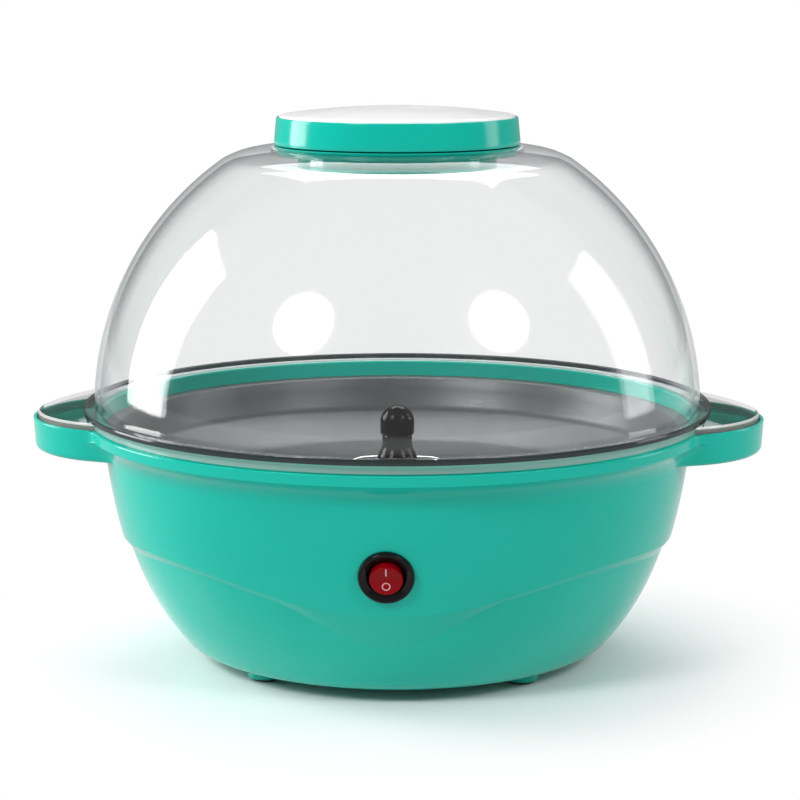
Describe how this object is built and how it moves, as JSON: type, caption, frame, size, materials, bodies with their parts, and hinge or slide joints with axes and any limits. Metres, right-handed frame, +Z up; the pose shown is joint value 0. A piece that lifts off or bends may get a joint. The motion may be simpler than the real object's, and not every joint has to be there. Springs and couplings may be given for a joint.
{
  "type": "popcorn maker",
  "caption": "Domed electric popcorn maker: teal bowl base with handles, heated pan and motor-driven stirrer, clear lift-off dome with cap, rocker switch.",
  "frame": {"origin": "on the table, under the centre of the four foot pads", "axes": "+Z up, +X along the two handles, the switch faces -Y"},
  "size_m": [0.34, 0.2904, 0.2543],
  "materials": {
    "teal_plastic": "glossy moulded",
    "white_plastic": "glossy moulded",
    "clear_plastic": "clear polycarbonate, polished",
    "black_plastic": "semi-gloss moulded",
    "red_plastic": "translucent red, glossy",
    "grey_plastic": "moulded",
    "rubber_dark": "matt",
    "silicone_red": "matt",
    "wire_sleeve": "woven sleeve",
    "non_stick": "dark non-stick coating",
    "heater_steel": "heat-dulled",
    "plated_steel": "zinc plated",
    "bright_wire": "bright",
    "aluminium_sheet": "mill finish",
    "brass_plain": "plain",
    "ceramic_white": "fired ceramic"
  },
  "bodies": {
    "base": {"base_shell": "teal_plastic", "bottom_cover": "teal_plastic", "foot_pad_1": "rubber_dark", "foot_pad_2": "rubber_dark", "foot_pad_3": "rubber_dark", "foot_pad_4": "rubber_dark", "cover_screw_1": "plated_steel", "cover_screw_2": "plated_steel", "cover_screw_3": "plated_steel", "cover_screw_4": "plated_steel", "heating_pan": "non_stick", "heating_element": "heater_steel", "element_clamp_1": "plated_steel", "element_clamp_2": "plated_steel", "element_clamp_3": "plated_steel", "heat_reflector": "aluminium_sheet", "reflector_spacer_1": "plated_steel", "reflector_spacer_2": "plated_steel", "reflector_spacer_3": "plated_steel", "thermostat": "grey_plastic", "thermal_fuse": "ceramic_white", "motor_can": "plated_steel", "gearbox": "grey_plastic", "motor_bracket": "plated_steel", "bracket_screw_1": "plated_steel", "bracket_screw_2": "plated_steel", "shaft_bush": "brass_plain", "shaft_seal": "silicone_red", "switch_housing": "black_plastic", "switch_terminal_1": "brass_plain", "switch_terminal_2": "brass_plain", "cord_gland": "black_plastic", "terminal_block": "ceramic_white", "motor_wire": "wire_sleeve", "switch_wire_left": "wire_sleeve", "switch_wire_right": "wire_sleeve", "element_wire_left": "wire_sleeve", "element_wire_right": "wire_sleeve"},
    "drive": {"drive_shaft": "plated_steel"},
    "stirrer": {"stirrer_hub": "black_plastic", "stirrer_knob": "black_plastic", "stirring_arm_left": "bright_wire", "stirring_arm_right": "bright_wire"},
    "rocker": {"switch_rocker": "red_plastic"},
    "dome": {"dome": "clear_plastic", "cap_collar": "teal_plastic"},
    "cap": {"cap_band": "teal_plastic", "cap_top": "white_plastic"}
  },
  "joints": [
    {"name": "stir_spin", "type": "hinge", "parent": "base", "child": "drive", "pos_m": [0, 0, 0.08], "axis": [0, 0, 1], "continuous": true},
    {"name": "stirrer_lift", "type": "slide", "parent": "drive", "child": "stirrer", "axis": [0, 0, 1], "range_m": [0, 0.05]},
    {"name": "switch_rock", "type": "hinge", "parent": "base", "child": "rocker", "pos_m": [0, -0.12641, 0.06596], "axis": [1, 0, 0], "range_deg": [-16, 0]},
    {"name": "dome_lift", "type": "slide", "parent": "base", "child": "dome", "axis": [0, 0, 1], "range_m": [0, 0.15]},
    {"name": "cap_lift", "type": "slide", "parent": "dome", "child": "cap", "axis": [0, 0, 1], "range_m": [0, 0.05]}
  ]
}
